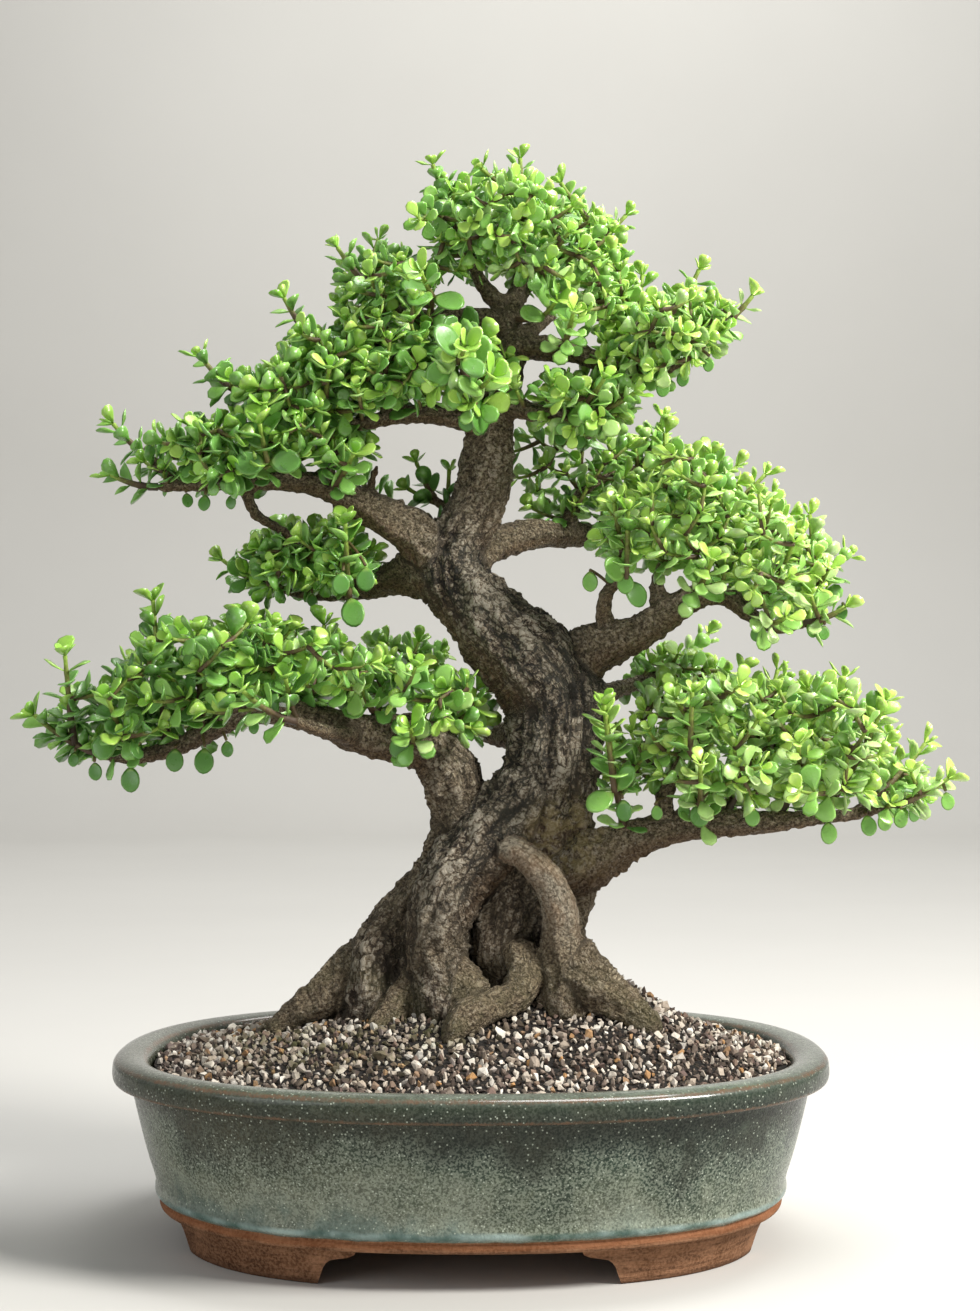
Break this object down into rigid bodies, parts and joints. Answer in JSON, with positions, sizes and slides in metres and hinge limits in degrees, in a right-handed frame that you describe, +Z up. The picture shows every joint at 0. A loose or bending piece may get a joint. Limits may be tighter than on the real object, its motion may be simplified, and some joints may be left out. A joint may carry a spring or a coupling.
{
  "type": "potted dwarf jade bonsai",
  "caption": "Old dwarf jade trained as an upright bonsai with tiered leafy pads, growing in grit in a low oval glazed pot on scrolled feet.",
  "frame": {"origin": "on the table, under the middle of the whole plant's bounding box; the pot's own middle is about 8 mm to its left", "axes": "+Z up the trunk, +X to the viewer's right, +Y away from the viewer, along the pot's short side"},
  "size_m": [0.4512, 0.284, 0.5311],
  "materials": {
    "glaze": "mottled grey-green glaze over bare orange-brown clay at the foot",
    "grit": "matt mixed bonsai grit, cream, brown and grey",
    "screen": "matt black plastic mesh",
    "bark": "rough grey-brown bark",
    "foliage": "plump bright green leaves with a soft sheen on yellow-green shoots"
  },
  "bodies": {
    "root": {"pot": "glaze", "grit": "grit", "drain_screen_left": "screen", "drain_screen_right": "screen", "trunk": "bark", "spray_01": "foliage", "spray_02": "foliage", "spray_03": "foliage", "spray_04": "foliage", "spray_05": "foliage", "spray_06": "foliage", "spray_07": "foliage", "spray_08": "foliage", "spray_09": "foliage", "spray_10": "foliage", "spray_11": "foliage", "spray_12": "foliage", "spray_13": "foliage", "spray_14": "foliage", "spray_15": "foliage", "spray_16": "foliage", "spray_17": "foliage", "spray_18": "foliage", "spray_19": "foliage", "spray_20": "foliage", "spray_21": "foliage", "spray_22": "foliage", "spray_23": "foliage", "spray_24": "foliage", "spray_25": "foliage", "spray_26": "foliage", "spray_27": "foliage", "spray_28": "foliage", "spray_29": "foliage", "spray_30": "foliage", "spray_31": "foliage", "spray_32": "foliage", "spray_33": "foliage", "spray_34": "foliage", "spray_35": "foliage", "spray_36": "foliage", "spray_37": "foliage", "spray_38": "foliage", "spray_39": "foliage", "spray_40": "foliage", "spray_41": "foliage", "spray_42": "foliage", "spray_43": "foliage", "spray_44": "foliage", "spray_45": "foliage", "spray_46": "foliage", "spray_47": "foliage", "spray_48": "foliage", "spray_49": "foliage", "spray_50": "foliage", "spray_51": "foliage", "spray_52": "foliage", "spray_53": "foliage", "spray_54": "foliage", "spray_55": "foliage"}
  },
  "joints": []
}
